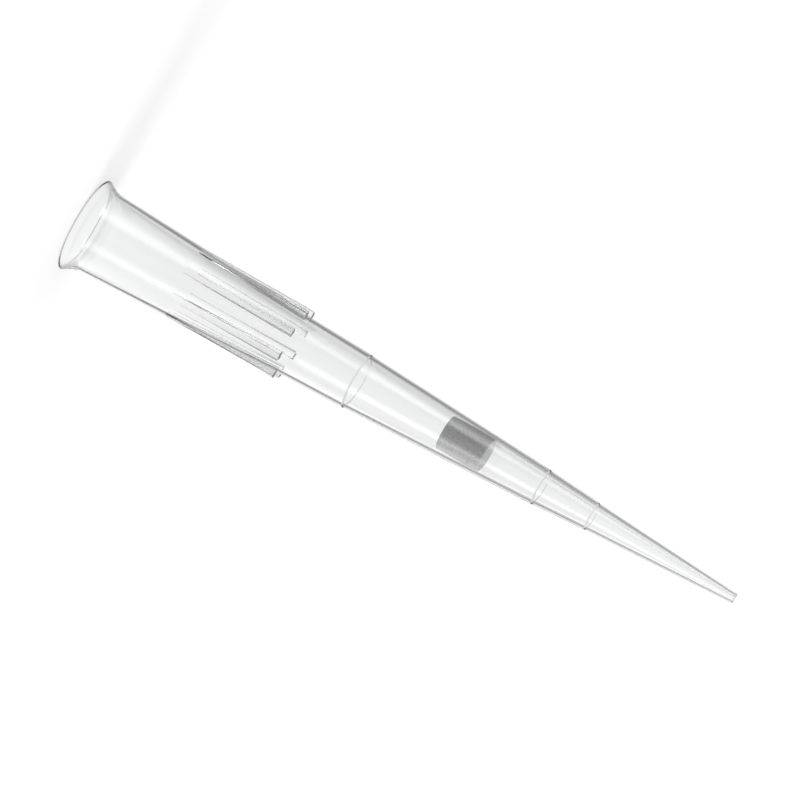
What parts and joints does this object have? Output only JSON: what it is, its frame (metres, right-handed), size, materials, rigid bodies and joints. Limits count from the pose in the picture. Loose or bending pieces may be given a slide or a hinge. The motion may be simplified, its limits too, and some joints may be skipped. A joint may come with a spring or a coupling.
{
  "type": "filter pipette tip",
  "caption": "Clear tapered pipette tip with a flared mouth, ribbed barrel, step rings, a fine orifice and a grey filter plug inside.",
  "frame": {"origin": "centre of the mouth rim, in the plane the tip stands on", "axes": "+Z along the tip's axis from the mouth to the orifice; +X through the middle of one rib"},
  "size_m": [0.0068, 0.0068, 0.051],
  "materials": {
    "clear_plastic": "clear moulded polypropylene, smooth and glossy",
    "filter_plastic": "sintered porous polyethylene, matt grey"
  },
  "bodies": {
    "root": {"tip_body": "clear_plastic", "filter_plug": "filter_plastic"}
  },
  "joints": []
}
